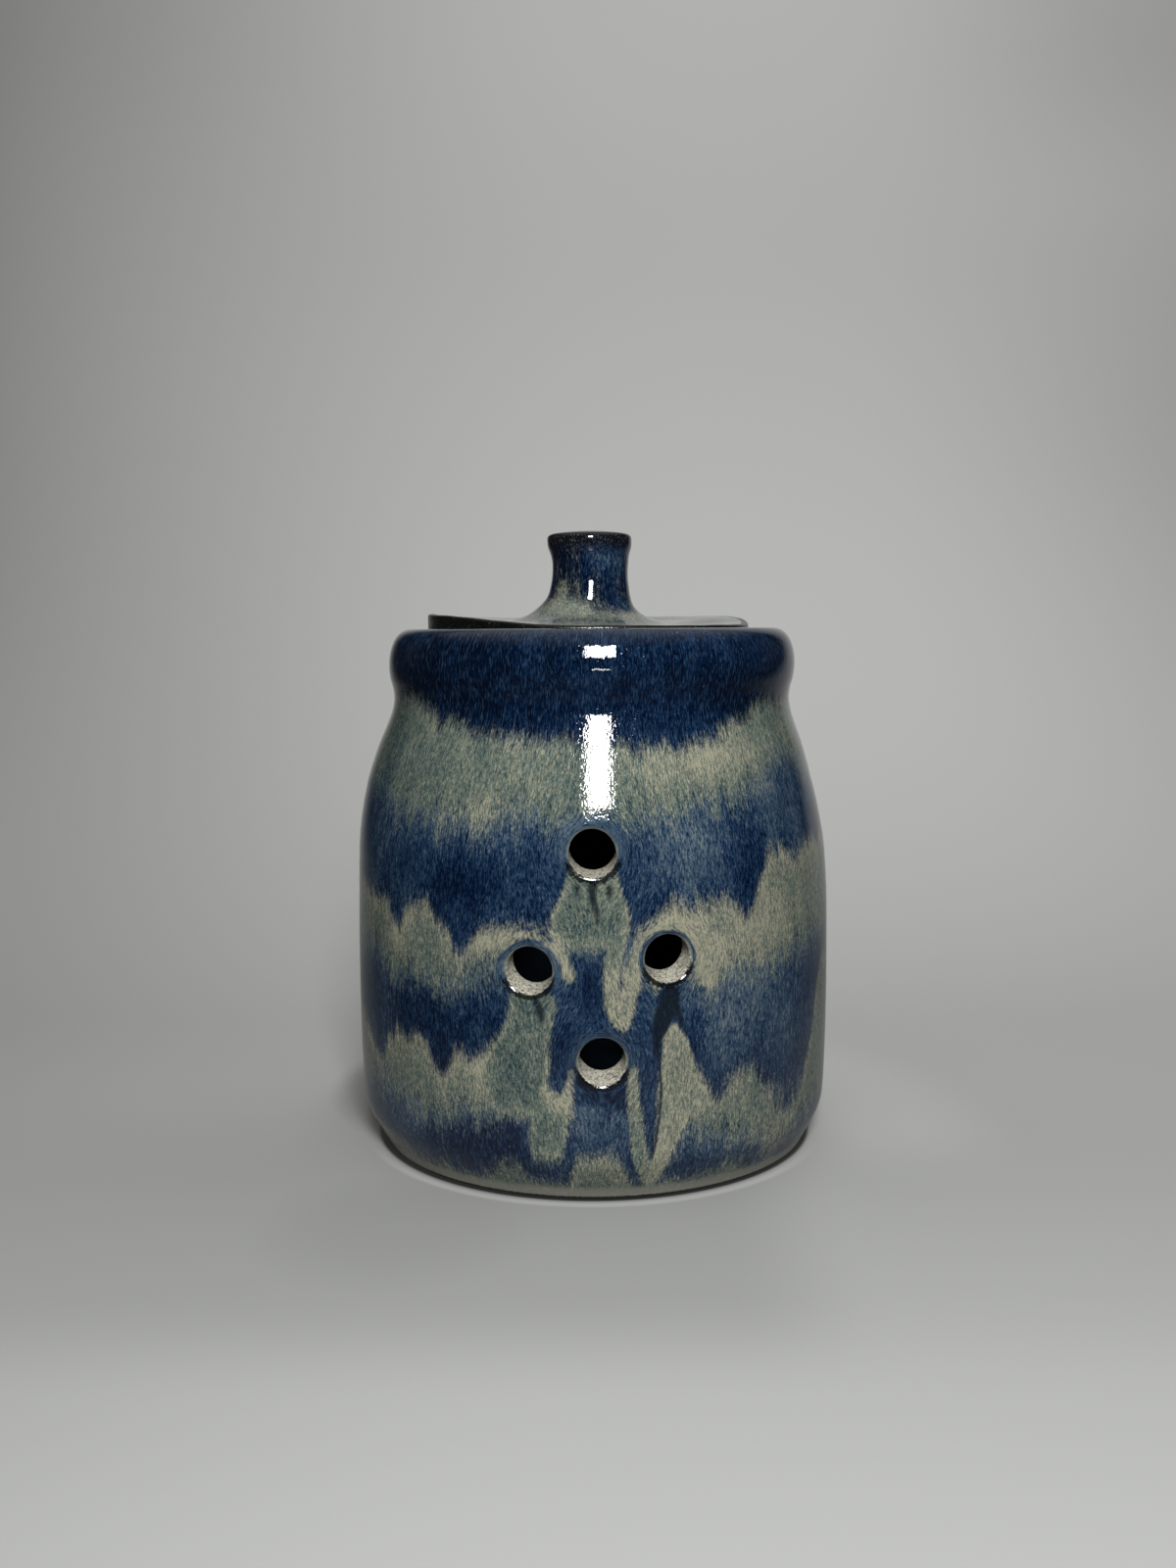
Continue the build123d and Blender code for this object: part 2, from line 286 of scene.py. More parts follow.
# The jar's glazes were poured in bands and ran in the kiln. These are the bands' lower edges from the collar
# down, as (azimuth, height): navy, sage, blue, sage, blue, sage, blue. The foot below them is sage.
BAND_EDGES = [
    [(-180, 103), (-165, 106), (-150, 104), (-135, 101), (-120, 103), (-105, 107), (-90, 110), (-75, 111),
     (-60, 110.4), (-55, 109.6), (-50, 108.2), (-46, 106), (-43.5, 104), (-41, 104.9), (-38, 105.3),
     (-35, 104), (-32, 102.2), (-28, 103), (-25, 103.1), (-20, 101.4), (-15, 101.3), (-10, 101.8), (0, 101),
     (8, 100.2), (18, 100), (25, 100.2), (30, 101), (35, 102.6), (40, 104.3), (43, 104.8), (46, 105.8),
     (48, 107.3), (51, 108.7), (55, 109.4), (62, 108.2), (70, 110), (90, 104), (105, 101), (120, 103),
     (135, 106), (150, 102), (165, 100)],
    [(-180, 86), (-170, 87), (-150, 81), (-140, 82), (-130, 86), (-120, 89), (-100, 93), (-90, 94),
     (-80, 93), (-55, 88), (-52, 85.6), (-48, 84.9), (-45, 84.8), (-40, 84.8), (-30, 84), (-26, 82.8),
     (-23, 82.9), (-21, 85.4), (-18, 85.6), (-16, 86), (-14, 87), (-11.5, 86.5), (-10, 83.5), (-8, 84),
     (-5, 85), (0, 85.5), (5, 85), (8, 84), (12, 85), (15, 86), (20, 86.5), (25, 88), (30, 89), (35, 88.5),
     (38, 89.5), (42, 91), (46, 92), (49, 93.5), (52, 96), (55, 97.3), (60, 97.5), (65, 96), (70, 93.5),
     (95, 86), (105, 84), (115, 86), (135, 92), (145, 90), (155, 86), (165, 84)],
    [(-180, 62), (-170, 60), (-160, 63), (-152, 68), (-140, 71), (-132, 66), (-124, 60), (-115, 57),
     (-105, 62), (-95, 68), (-85, 70), (-75, 67), (-60, 64), (-56, 64), (-53, 62.5), (-51, 60),
     (-49.6, 55.5), (-48.4, 59), (-46, 62.5), (-42, 65.5), (-38.5, 64), (-32, 57.5), (-30.5, 53.5),
     (-29, 55.5), (-27, 58), (-24, 60.8), (-20, 61.5), (-15, 61.6), (-8, 61), (0, 61), (8, 60), (10, 61.5),
     (16, 65.5), (17.2, 68.5), (18.5, 65.5), (22, 65), (26, 66), (29, 66.6), (32, 65.6), (34.5, 61.5),
     (37, 62), (38.5, 66.5), (40.5, 70), (42.5, 73), (44, 77), (45.5, 75), (48, 76.3), (51, 74.8),
     (53.5, 73.3), (56, 74.5), (60, 76), (68, 76), (75, 76.5), (85, 74), (95, 68), (102, 62), (110, 60),
     (120, 64), (128, 70), (136, 73), (146, 70), (152, 64), (160, 61), (170, 63)],
    [(-180, 48), (-165, 46), (-155, 49), (-145, 53), (-135, 50), (-125, 45), (-115, 44), (-95, 52),
     (-85, 55), (-70, 53), (-60, 53), (-56, 51.5), (-53.5, 50), (-51.5, 48), (-50, 46.3), (-48, 48.5),
     (-44, 49.5), (-39.5, 49.5), (-37.5, 47.5), (-34, 46.8), (-30, 48.5), (-22, 52.5), (-17, 53), (-8, 59),
     (-3, 60), (0, 60), (3, 59.5), (8, 58), (12, 52), (20, 52), (22.5, 50.5), (24, 48), (26, 46.7),
     (28, 48.3), (30, 51), (35, 51.5), (40, 51), (45, 51.5), (50, 52.5), (60, 55.5), (75, 56), (85, 54),
     (95, 49), (105, 45), (115, 46), (135, 54), (145, 52), (155, 48), (165, 46), (175, 47)],
    [(-180, 28), (-170, 25), (-160, 29), (-150, 34), (-140, 32), (-130, 27), (-120, 25), (-100, 35),
     (-90, 38), (-80, 36), (-70, 33), (-64, 29), (-61, 26), (-58, 25), (-56, 27.5), (-54, 31),
     (-50.5, 33.5), (-46, 33.5), (-42, 35), (-40, 33), (-38, 29.5), (-36.5, 27), (-35, 24.8), (-34, 27.5),
     (-32.8, 31), (-31, 33), (-28.5, 31.6), (-25, 32.3), (-23, 34.8), (-21, 37), (-19, 38), (-12, 37),
     (-10, 27), (-8, 23.5), (-6.5, 22), (8, 22), (14, 28), (20, 32), (22, 30.5), (24, 27.5), (26, 23.5),
     (27.4, 20.5), (29, 23), (31, 25.5), (37, 27.5), (40, 25), (43, 21), (46, 17.5), (49, 15), (52, 15),
     (55, 18), (58, 23), (61, 29), (63, 36), (66, 44), (70, 50), (80, 44), (90, 36), (100, 31), (110, 28),
     (120, 30), (130, 34), (140, 32), (150, 27), (160, 26), (170, 30)],
    [(-180, 13), (-170, 10), (-160, 12), (-150, 16), (-140, 18), (-130, 14), (-120, 11), (-110, 13),
     (-100, 17), (-90, 20), (-80, 21), (-70, 21), (-60, 20.5), (-52, 20), (-47, 18), (-42, 17), (-38, 16.5),
     (-34, 16.5), (-31, 19), (-27, 19.5), (-24, 19.5), (-20, 21.5), (-17, 22.5), (-15, 21.5), (-13, 20),
     (-7, 20), (-5, 21), (4, 21), (8, 18), (11, 10), (13, 4), (16, 10), (18.5, 14.5), (20.5, 17.5),
     (23, 15.5), (26, 14.5), (28, 13), (30, 12.5), (33, 12.5), (36, 11.8), (40, 10), (44, 8), (48.5, 5),
     (50, 8), (60, 12), (70, 14), (80, 17), (90, 15), (100, 12), (110, 10), (120, 13), (130, 17), (140, 16),
     (150, 12), (160, 11), (170, 14)],
    [(-180, 5), (-165, 3), (-150, 5), (-140, 7), (-125, 4), (-110, 2.5), (-100, 4), (-90, 7), (-80, 9),
     (-50, 6), (-45, 4.5), (-40, 4), (-35, 3.2), (-30, 3), (-26, 4.5), (-23, 5.5), (-20.5, 8.5), (-17, 8.5),
     (-15.5, 5), (-14, 3.5), (-10, 3.5), (-6, 4), (-5, 7), (-4.4, 10), (-2, 12), (0, 12.5), (3, 12),
     (5, 11), (6.5, 8), (7.6, 5.5), (9, 3), (11, 2), (13, 2), (16, 4), (19, 3), (22, 3), (26, 5), (30, 6),
     (34, 6.5), (37, 5), (39, 2.5), (45, 2), (55, 2), (75, 6), (85, 4), (95, 2.5), (110, 4), (120, 6.5),
     (130, 5), (145, 3), (155, 2.5), (170, 6)],
]


def run_round(edge, azimuth, weights=(1, 2, 3, 2, 1)):
    """The height of an edge at each azimuth, its corners rounded by a weighted mean over half degrees."""
    a, h = np.array(edge, float).T
    turn = np.arange(-180, 180, 0.5)
    line = np.interp(turn, a, h, period=360)
    line = sum(np.roll(line, k - len(weights) // 2) * w for k, w in enumerate(weights)) / sum(weights)
    return np.interp(azimuth, turn, line, period=360)


def stroke(azimuth, height, line):
    """How far inside (+) or outside (-) a stroke of (azimuth, height, half width) points each place lies."""
    best = np.full(azimuth.shape, -FAR)
    for (a0, h0, w0), (a1, h1, w1) in zip(line, line[1:]):
        dx, dz = wrapped(a1 - a0) * MM_PER_DEGREE, h1 - h0
        x, z = wrapped(azimuth - a0) * MM_PER_DEGREE, height - h0
        along = np.clip((x * dx + z * dz) / (dx * dx + dz * dz), 0, 1)
        best = np.maximum(best, w0 + (w1 - w0) * along - np.hypot(x - along * dx, z - along * dz))
    return best


def drape(azimuth, height, line):
    """As stroke, for a run that hangs straight down, given as (height, azimuth, half width) points."""
    h, a, w = np.array(sorted(line), float).T
    inside = np.interp(height, h, w) - abs(wrapped(azimuth - np.interp(height, h, a))) * MM_PER_DEGREE
    return np.minimum.reduce([inside, (height - h[0]) * 0.35, (h[-1] - height) * 1.5])


edges = [run_round(e, azimuth) for e in BAND_EDGES]
sage = edges[6] - height
below_top = np.full_like(sage, 4.0)
rimmed = np.zeros_like(sage)
for top, bottom in ((0, 1), (2, 3), (4, 5)):
    band = np.minimum(edges[top] - height, (height - edges[bottom]) * 0.5)
    below_top = np.where(band > sage, edges[top] - height, below_top)
    rimmed = np.where(band > sage, 0.12 if top == 0 else 0.4, rimmed)
    sage = np.maximum(sage, band)
cream = 0.36 + rimmed * np.exp(-(np.clip(below_top - 1, 0, 20) / 2.2) ** 2)

# Runs below and beside the vents, each over the last: its shape, 1 for sage or 0 for blue, how cream it is,
# and its points.
RUNS = [
    (drape, 1, 0.36, [(57, -0.6, 6.4), (58, -0.6, 7.1), (60, -0.7, 7.7), (62, -0.8, 8.3), (64, -0.8, 8.6),
     (66, -0.4, 8), (68, -0.2, 7.2), (70, -0.1, 6.4), (72, 0.1, 5.8), (75, 0.1, 5)]),
    (stroke, 1, 0.7, [(-8, 60, 1.3), (-7, 57, 1), (-5.9, 54, 1), (-5.2, 51.8, 1.3)]),
    (drape, 1, 0.45, [(49, 5.7, 3.5), (52, 5.8, 3.8), (55, 6.1, 4.1), (58, 6.4, 3.6), (62, 6.2, 2.4)]),
    (drape, 1, 0.85, [(39, 6, 0.3), (40, 6, 1.3), (42, 5.7, 2.5), (45, 5.5, 3.4), (50, 5.7, 3.6),
     (53, 5.8, 3.6)]),
    (drape, 1, 0.2, [(19.5, -16.5, 5), (22, -17, 6.4), (28, -17, 7), (32, -16.4, 7), (35, -15.6, 6.8),
     (38, -14.1, 6.3), (41, -13.2, 5.8), (44, -13.1, 5.3), (48, -13.5, 4.6)]),
    (drape, 1, 0.2, [(10, -10.2, 3.2), (14, -10.3, 3.9), (18, -9.8, 4.3), (22, -8.9, 4), (26, -9.4, 2.4)]),
    (stroke, 0, 0, [(-16, 62.2, 0.6), (-10.8, 61, 0.55), (-9.2, 59.4, 0.5), (-8.3, 57.4, 0.3)]),
    (stroke, 1, 0.9, [(-24.5, 58, 2.2), (-21.5, 58.8, 1.6), (-18, 59.9, 0.95), (-14, 60.1, 0.75),
     (-11, 59.2, 0.7), (-9, 57.2, 0.75), (-7.4, 54.6, 0.85), (-6, 52.4, 1.1), (-5.1, 51.3, 1.1)]),
    (stroke, 1, 0.9, [(8.9, 48.5, 1), (9.2, 51.5, 0.95), (9.4, 54.5, 0.9), (10, 57.5, 0.95),
     (11.4, 60.2, 1), (13.4, 62.1, 1.15), (16, 63.2, 1.5), (19, 62.6, 1.9), (21.5, 60.5, 2.4),
     (23.3, 57.5, 2.8), (24.5, 53.5, 2.9), (25.5, 50, 2.3), (26, 48.6, 1.2)]),
    (drape, 1, 0.9, [(47, 13.3, 0.25), (48.3, 13.3, 0.6), (49.5, 13, 0.9), (51, 12.8, 1)]),
    (stroke, 0, 0, [(8.7, 62.8, 0.9), (8, 60, 0.75), (7.2, 57, 0.62), (6.5, 54.3, 0.5), (5.8, 51, 0.42),
     (5.45, 48.5, 0.3), (5.3, 46.5, 0.1)]),
    (drape, 0, 0, [(25.5, -7.4, 0.3), (28, -7.5, 1.1), (32, -7.6, 1.8), (36, -7.4, 2.2), (40, -6.4, 2.6),
     (44, -5.6, 3)]),
    (stroke, 1, 0.8, [(-10.6, 27, 0.7), (-10, 24.4, 1.1), (-8.4, 22.4, 1.6), (-6.4, 23.4, 1.7),
     (-5.1, 26, 1.35), (-4.6, 29, 0.95), (-4.5, 32, 0.75), (-3.7, 35, 0.6), (-2.2, 37.6, 0.45)]),
    (drape, 0, 0, [(11.5, 1.8, 4.6), (14, 2, 6), (18, 2, 6), (22, 1.6, 6), (26, 1.4, 6.2), (30, 1.4, 6)]),
    (stroke, 1, 0.35, [(7.2, 36, 0.5), (8, 32, 0.9), (8.3, 28, 1.2), (8.4, 24, 1.3), (8.8, 19, 1.5),
     (9.6, 14, 1.8), (10.9, 9, 2.1), (12.4, 4.5, 1.8)]),
    (drape, 0, 0, [(8.5, 12.2, 0.1), (12, 12.2, 0.8), (16, 12, 1.2), (20, 11.9, 1.6), (25, 11.6, 2),
     (30, 11.5, 2.4), (35, 11.2, 2.5), (40, 11, 2.5), (47, 11.4, 2.4)]),
    (drape, 1, 0.7, [(2.5, 12.5, 1), (6, 13.3, 1.8), (10, 14.4, 2.1), (14, 15.8, 2.6), (18, 17.3, 3.4),
     (22, 18.5, 4.4), (26, 18.9, 4.7), (30, 18.4, 4.2), (34, 18, 3.3), (38, 17.2, 2.4), (40.5, 17, 0.6)]),
    (drape, 1, 0.3, [(56, 181.4, 6.2), (60, 180.4, 7), (64, 179.8, 7.2), (68, 180, 6.6), (72, 180.2, 5.6),
     (75, 180, 5)]),
    (stroke, 1, 0.6, [(-178, 57, 2.2), (-177.4, 51, 1.7), (-177.2, 48, 1.2)]),
    (stroke, 0, 0, [(-165.2, 47, 4.4), (-165, 41, 3.8), (-164.6, 35, 2.6), (-164.8, 27, 1.4),
     (-164.8, 21, 0.5)]),
    (stroke, 1, 0.85, [(-157, 55, 2.2), (-160, 60, 1.3), (-165, 62.2, 1.1), (-170, 60.4, 1),
     (-172.6, 56, 0.9), (-174, 50, 1)]),
    (drape, 1, 0.25, [(25, 165, 3.8), (29, 164.8, 4.8), (34, 165.2, 5.8), (40, 165.6, 5.6),
     (47, 165.4, 4.6)]),
    (stroke, 1, 0.8, [(158, 56, 2), (161, 59.8, 1.2), (165.4, 61, 1), (170, 59.3, 0.9), (172.6, 55.5, 0.9),
     (174, 50, 0.9)]),
    (drape, 1, 0.35, [(5, 180, 2.4), (8, 180, 3.2), (13, 180.4, 4.6), (19, 180.8, 5.2), (26, 181.2, 4.8)]),
]
RUN_SHARPNESS = 3.8
run_edge = np.full(azimuth.shape, FAR)
for shape, is_sage, creaminess, line in RUNS:
    run = shape(azimuth, height, line)
    run_edge = np.minimum(run_edge, abs(run))
    run = run * RUN_SHARPNESS
    if is_sage:
        kept = soft(run, -2, 2) if creaminess > 0.6 else soft(run, -1.5, 6)
        cream = cream + (creaminess - cream) * kept
        sage = np.maximum(sage, run)
    else:
        sage = np.minimum(sage, -run)
# a paler seam along the side edges of the runs
cream += 0.25 * np.exp(-((sage - 2.4) / 2.2) ** 2) * (run_edge < 3)

# Soft-edged spots as (azimuth, height, width, height, amount): where the sage goes cream or tan, where the
# blue goes deep or stays grey, and where the two melt into each other.
CREAM_SPOTS = [
    (24, 96.5, 16, 4.5, 0.45), (40, 98, 9, 5, 0.25), (-27, 85.5, 7, 3.5, 0.4), (-46, 91, 12, 8, -0.12),
    (-17, 95, 4, 3, 0.1), (28, 56, 9, 6, 0.5), (42, 61, 8, 9, 0.5), (-42, 57, 10, 6, 0.15),
    (-22, 60.5, 5, 2.5, 0.3), (-52, 57, 6, 6, 0.15), (-33, 28, 9, 4, 0.3), (-50, 30, 8, 3.5, 0.2),
    (-14, 85, 3, 3, -0.2), (0, 92, 7, 7, -0.05), (55, 66, 9, 10, 0.12), (0, 60, 8, 5, -0.3),
    (32, 20, 6, 4, 0.25), (45, 10, 6, 3, 0.3), (48, 20, 6, 6, -0.35), (50, 104, 8, 4, -0.15),
    (-62, 98, 9, 14, -0.3), (-60, 30, 8, 8, -0.15), (0, 9, 6, 3, 0.15), (110, 95, 14, 5, 0.4),
    (150, 92, 12, 5, 0.25), (-110, 98, 12, 5, 0.35), (-150, 92, 14, 5, 0.3), (120, 54, 12, 5, 0.4),
    (-120, 52, 12, 5, 0.4), (-160, 56, 7, 5, 0.3), (145, 60, 9, 6, 0.25), (85, 64, 10, 7, 0.2),
    (-90, 60, 9, 7, 0.25), (100, 24, 12, 5, 0.2), (-100, 27, 12, 5, 0.25),
]
DEEP_SPOTS = [
    (-40, 117, 22, 9, 0.35), (-20, 107, 14, 5, 0.15), (45, 112, 14, 7, 0.25), (-32, 71, 13, 7, 0.25),
    (36.5, 75, 3, 9, 0.3), (41, 80, 3.5, 8, 0.15), (-15, 70, 9, 8, 0.15), (24, 76, 10, 9, -0.28),
    (50, 84, 8, 9, -0.1), (-40, 41, 13, 7, 0.4), (-34, 30, 4, 5, 0.3), (35, 42, 16, 11, -0.25),
    (22.5, 38, 2, 7, 0.25), (0, 52, 3, 6, 0.35), (-7, 44, 4, 5, -0.1), (2, 15, 6, 3.5, -0.15),
    (2, 25, 6, 4, 0.35), (-20, 14, 9, 6, 0.4), (-33, 12, 9, 6, 0.35), (20, 10, 6, 5, 0.25),
    (60, 86, 8, 10, -0.1), (-48, 58, 2, 6, 0.2), (-8, 36, 2.5, 7, 0.2), (100, 74, 14, 8, 0.25),
    (-110, 76, 14, 9, 0.25), (150, 76, 10, 8, -0.15), (-160, 75, 12, 8, 0.2), (115, 40, 12, 7, 0.25),
    (-125, 38, 12, 7, 0.25), (180, 40, 9, 6, -0.15), (-150, 22, 9, 5, 0.2), (90, 118, 22, 9, 0.2),
    (-120, 116, 24, 9, 0.25),
]
SOFT_SPOTS = [
    (48, 21, 9, 11, 0.62), (31, 26, 5, 5, 0.5), (-57, 26, 6, 6, 0.3), (-24.5, 53, 4.5, 4.5, 0.65),
    (24, 68, 9, 4, 0.3),
]


def spotted(spots, per_degree=MM_PER_DEGREE):
    """The sum of soft-edged spots at each place of the piece in hand."""
    total = np.zeros_like(azimuth)
    for a, h, wide, tall, amount in spots:
        across = wrapped(azimuth - a) * per_degree / wide
        total += amount * np.exp(-across**2 - ((height - h) / tall) ** 2)
    return total


cream = np.clip(cream + spotted(CREAM_SPOTS), 0, 1)
under_sage = np.full(azimuth.shape, FAR)
for bottom in (1, 3, 5):
    under_sage = np.where(height < edges[bottom] + 2, edges[bottom] - height, under_sage)
deep = 0.5 + 0.28 * soft(height, 98, 106) - 0.32 * np.exp(-np.maximum(under_sage, 0) / 5)
deep = np.clip(deep + spotted(DEEP_SPOTS), 0, 1)

# Round each vent the glaze shows a blue halo of fine rings and, under it, dark beads.
HALO_WIDTHS = [2.2, 1.2, 1, 1.2, 2.2, 1.1, 1.1, 1.8]
streak_azimuth, distance = azimuth.copy(), np.full(azimuth.shape, FAR)
halo, lip = np.zeros_like(azimuth), np.zeros_like(azimuth)
for (vent_azimuth, vent_height, _), halo_width in zip(VENTS, HALO_WIDTHS):
    x, z = wrapped(azimuth - vent_azimuth) * MM_PER_DEGREE, height - vent_height
    far = np.hypot(x, z)
    upper = z / np.maximum(far, 0.1)
    bend = np.minimum((LIP_RADIUS / np.maximum(far, LIP_RADIUS)) ** 2, 1)
    streak_azimuth -= x * bend / MM_PER_DEGREE
    fading = 1 - soft(far, LIP_RADIUS + 0.45 * halo_width, LIP_RADIUS + 1.25 * halo_width)
    halo = np.maximum(halo, fading * soft(upper, -0.5, 0.1))
    lip = np.maximum(lip, (1 - soft(far, 5.8, 7.1)) * soft(-upper, -0.1, 0.5))
    distance = np.minimum(distance, far)
sage = sage * (1 - spotted(SOFT_SPOTS))
sage = np.where(depth > 0, sage, sage - 9 * halo)
# The runs beside the vents kept smooth edges; elsewhere the glaze combed the edges of the bands.
combed = 0.12 + 0.88 * soft(distance, 8, 17)
combed = np.minimum(combed, 0.3 + 0.7 * soft(run_edge, 1.5, 5))
streak_turn = np.radians(streak_azimuth)
flow = np.stack([BELLY_RADIUS * np.sin(streak_turn), -BELLY_RADIUS * np.cos(streak_turn), height], axis=1)
# The dark glaze that gathered under the vents, and the thin line below the right-hand one.
BLOTS = [
    (drape, [(33, 13.2, 0.3), (35.5, 13.2, 0.6), (37, 13.4, 1), (38.5, 13.9, 1.6), (40, 14.3, 2),
     (42, 14.9, 2.3), (44, 15.9, 2.6), (46, 16.2, 2.3), (48.6, 16.4, 1.8)]),
    (stroke, [(16.8, 46.5, 1.3), (18.2, 42.5, 0.8), (19.4, 39.5, 0.45), (20.2, 37.5, 0.2)]),
    (stroke, [(0, 71.5, 1.1), (-0.1, 69, 0.8), (0.6, 66, 0.8), (1, 63, 0.3)]),
    (stroke, [(-3.4, 71, 0.7), (-3, 68.5, 0.3)]),
    (stroke, [(3.6, 71, 0.7), (3.5, 68, 0.3)]),
    (stroke, [(-12.4, 46.3, 0.7), (-11.4, 43.5, 0.9), (-11.2, 41, 0.3)]),
    (stroke, [(-165.2, 47.5, 1.6), (-164.4, 42, 1), (-164, 36, 0.3)]),
]
blot = np.maximum.reduce([shape(azimuth, height, line) for shape, line in BLOTS])
line_azimuth = np.interp(height, [9, 14, 20, 26, 32, 38, 42], [12.2, 13.2, 14.1, 14.4, 14, 13.3, 13.2])
off_line = np.radians(azimuth - line_azimuth)
line_from = BELLY_RADIUS * np.sin(off_line) + FAR * (np.cos(off_line) < 0)

jar = closed_mesh("jar_thrown", points, faces, {
    "flow": flow, "sage": np.clip(sage, -9, 9), "cream": cream, "deep": deep, "combed": combed, "halo": halo,
    "ring": np.clip(distance, 0, 12), "lip": lip, "bore": depth, "skin": skin, "blot": np.clip(blot, -5, 5),
    "line": np.clip(line_from, -4, 4),
})


class Wire:
    """A value or colour on its way through a finish; sums and products of it add Math nodes."""

    def __init__(self, finish, socket):
        self.finish, self.socket = finish, socket

    def math(self, operation, *values):
        return self.finish.node("ShaderNodeMath", {"operation": operation}, dict(enumerate(values)))

    def __add__(self, other):
        return self.math("ADD", self, other)

    def __sub__(self, other):
        return self.math("SUBTRACT", self, other)

    def __rsub__(self, other):
        return self.math("SUBTRACT", other, self)

    def __mul__(self, other):
        return self.math("MULTIPLY", self, other)

    __radd__, __rmul__ = __add__, __mul__

    def swing(self, amount):
        """Noise from 0 to 1 turned into a swing to either side of zero."""
        return (self - 0.5) * amount

    def sine(self):
        return self.math("SINE", self)

    def size(self):
        return self.math("ABSOLUTE", self)

    def most(self, other):
        return self.math("MAXIMUM", self, other)

    def least(self, other):
        return self.math("MINIMUM", self, other)

    def rise(self, low, high):
        """0 below low, 1 above high, and an even rise between them."""
        turned = {"Value": self, "From Min": low, "From Max": high, "To Min": 0, "To Max": 1}
        if low > high:
            turned.update({"From Min": high, "From Max": low, "To Min": 1, "To Max": 0})
        return self.finish.node("ShaderNodeMapRange", {"interpolation_type": "SMOOTHSTEP"}, turned)


class Finish:
    """The nodes of a material, or of the studio's surroundings."""

    def __init__(self, holder):
        self.holder = holder
        holder.use_nodes = True
        self.tree = holder.node_tree
        self.tree.nodes.clear()

    def node(self, kind, settings=None, sockets=None, out=0):
        """Adds a node: its settings first, then the values or links of its sockets; gives its output."""
        node = self.tree.nodes.new(kind)
        for key, value in (settings or {}).items():
            if key == "stops":
                ramp = node.color_ramp
                while len(ramp.elements) < len(value):
                    ramp.elements.new(0.5)
                for element, (place, shade) in zip(ramp.elements, value):
                    element.position, element.color = place, shade
            else:
                setattr(node, key, value)
        for key, value in (sockets or {}).items():
            if isinstance(value, Wire):
                self.tree.links.new(value.socket, node.inputs[key])
            else:
                node.inputs[key].default_value = value
        return Wire(self, node.outputs[out]) if node.outputs else None

    def part(self, place, letter):
        """One coordinate, X, Y or Z, of a place."""
        return self.node("ShaderNodeSeparateXYZ", {}, {0: place}, letter)

    def in_mm(self):
        """A place on the object, in millimetres."""
        place = self.node("ShaderNodeTexCoord", {}, {}, "Object")
        return self.node("ShaderNodeVectorMath", {"operation": "SCALE"}, {0: place, "Scale": 1000})

    def mark(self, name, out=2):
        """The value (output 2) or vector (1) that the mesh carries under a name."""
        return self.node("ShaderNodeAttribute", {"attribute_name": name}, {}, out)

    def noise(self, place, per_mm, detail=0, harshness=0.5, shift=0):
        """Noise of so many lumps per millimetre in x, y and z."""
        moved = {0: place, 1: per_mm, 2: (shift, shift * 1.7, shift * 0.6)}
        place = self.node("ShaderNodeVectorMath", {"operation": "MULTIPLY_ADD"}, moved)
        lumps = {"Vector": place, "Scale": 1, "Detail": detail, "Roughness": harshness}
        return self.node("ShaderNodeTexNoise", {"noise_dimensions": "3D"}, lumps)

    def shades(self, amount, stops):
        """A run of colours along an amount from 0 to 1."""
        return self.node("ShaderNodeValToRGB", {"stops": [(p, tone(*c)) for p, c in stops]}, {"Fac": amount})

    def over(self, amount, under, upper):
        """One colour laid over another by an amount."""
        return self.node("ShaderNodeMix", {"data_type": "RGBA"}, {0: amount, 6: under, 7: upper}, 2)

    def surface(self, base_colour, roughness, height, depth_mm):
        """The glazed or bare surface itself, with a bump of the given depth in millimetres."""
        bump = {"Strength": 1, "Distance": depth_mm * 0.001, "Height": height}
        normal = self.node("ShaderNodeBump", {}, bump)
        shader = self.node("ShaderNodeBsdfPrincipled", {}, {
            "Base Color": base_colour, "Roughness": roughness, "Normal": normal, "IOR": 1.5})
        self.node("ShaderNodeOutputMaterial", {}, {"Surface": shader})
        return self.holder


def tone(red, green, blue):
    """A colour as it looks on a screen, 0 to 255, as Blender wants it."""
    shares = (c / 255 for c in (red, green, blue))
    return tuple(((s + 0.055) / 1.055) ** 2.4 if s > 0.04 else s / 12.92 for s in shares) + (1,)


# The two glazes from their deepest to their palest.
BLUES = [
    (0, (2, 11, 29)), (0.28, (8, 31, 60)), (0.55, (42, 63, 86)), (0.8, (82, 97, 108)), (1, (112, 122, 122)),
]
SAGES = [(0, (38, 54, 58)), (0.3, (78, 95, 92)), (0.62, (117, 123, 109)), (1, (164, 161, 140))]


